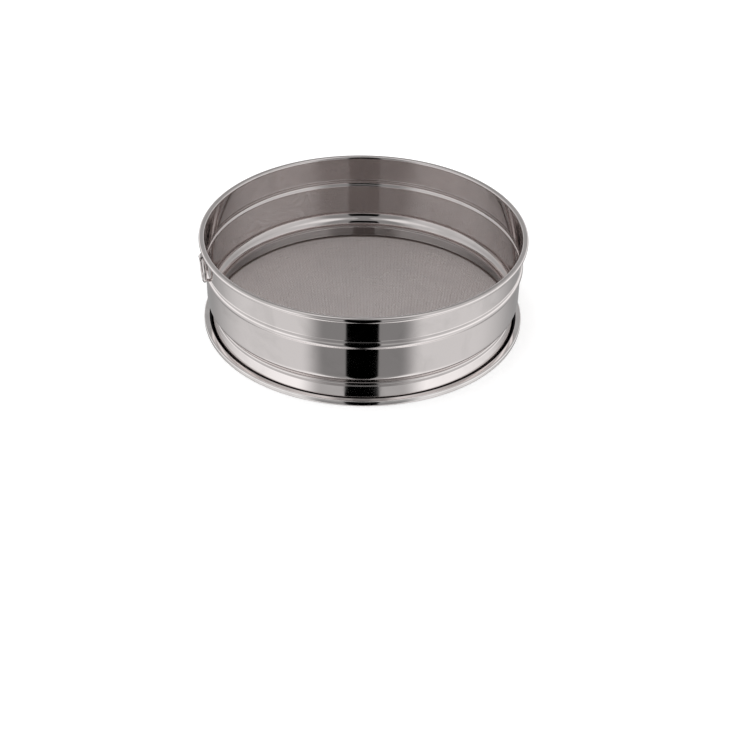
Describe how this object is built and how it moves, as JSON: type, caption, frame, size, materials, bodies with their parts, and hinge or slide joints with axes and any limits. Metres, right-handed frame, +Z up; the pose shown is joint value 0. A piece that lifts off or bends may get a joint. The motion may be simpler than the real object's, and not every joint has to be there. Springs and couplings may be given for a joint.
{
  "type": "drum sieve",
  "caption": "Round steel drum sieve for sifting and pureeing: a ribbed drum with a rolled rim, a stepped-in waist, wire cloth held by a base ring, and a hanging ring on a lug.",
  "frame": {"origin": "on the drum's axis, at the height of the table that the base ring stands on", "axes": "+Z up along the drum's axis; the hanger is on the -X side, a little towards -Y"},
  "size_m": [0.3, 0.3, 0.09],
  "materials": {
    "drum_steel": "spun and polished",
    "base_steel": "polished",
    "wire_steel": "drawn wire",
    "wire_cloth": "woven wire",
    "hanger_steel": "polished"
  },
  "bodies": {
    "drum": {"drum_shell": "drum_steel", "rim_wire": "wire_steel", "base_ring": "base_steel", "mesh_cloth": "wire_cloth", "mesh_hoop": "wire_steel", "hanger_lug": "hanger_steel"},
    "ring": {"hanging_ring": "hanger_steel"}
  },
  "joints": [
    {"name": "ring_swing", "type": "hinge", "parent": "drum", "child": "ring", "pos_m": [-0.14369, -0.03716, 0.0795], "axis": [-0.2504, 0.9681, 0], "range_deg": [0, 135]}
  ]
}
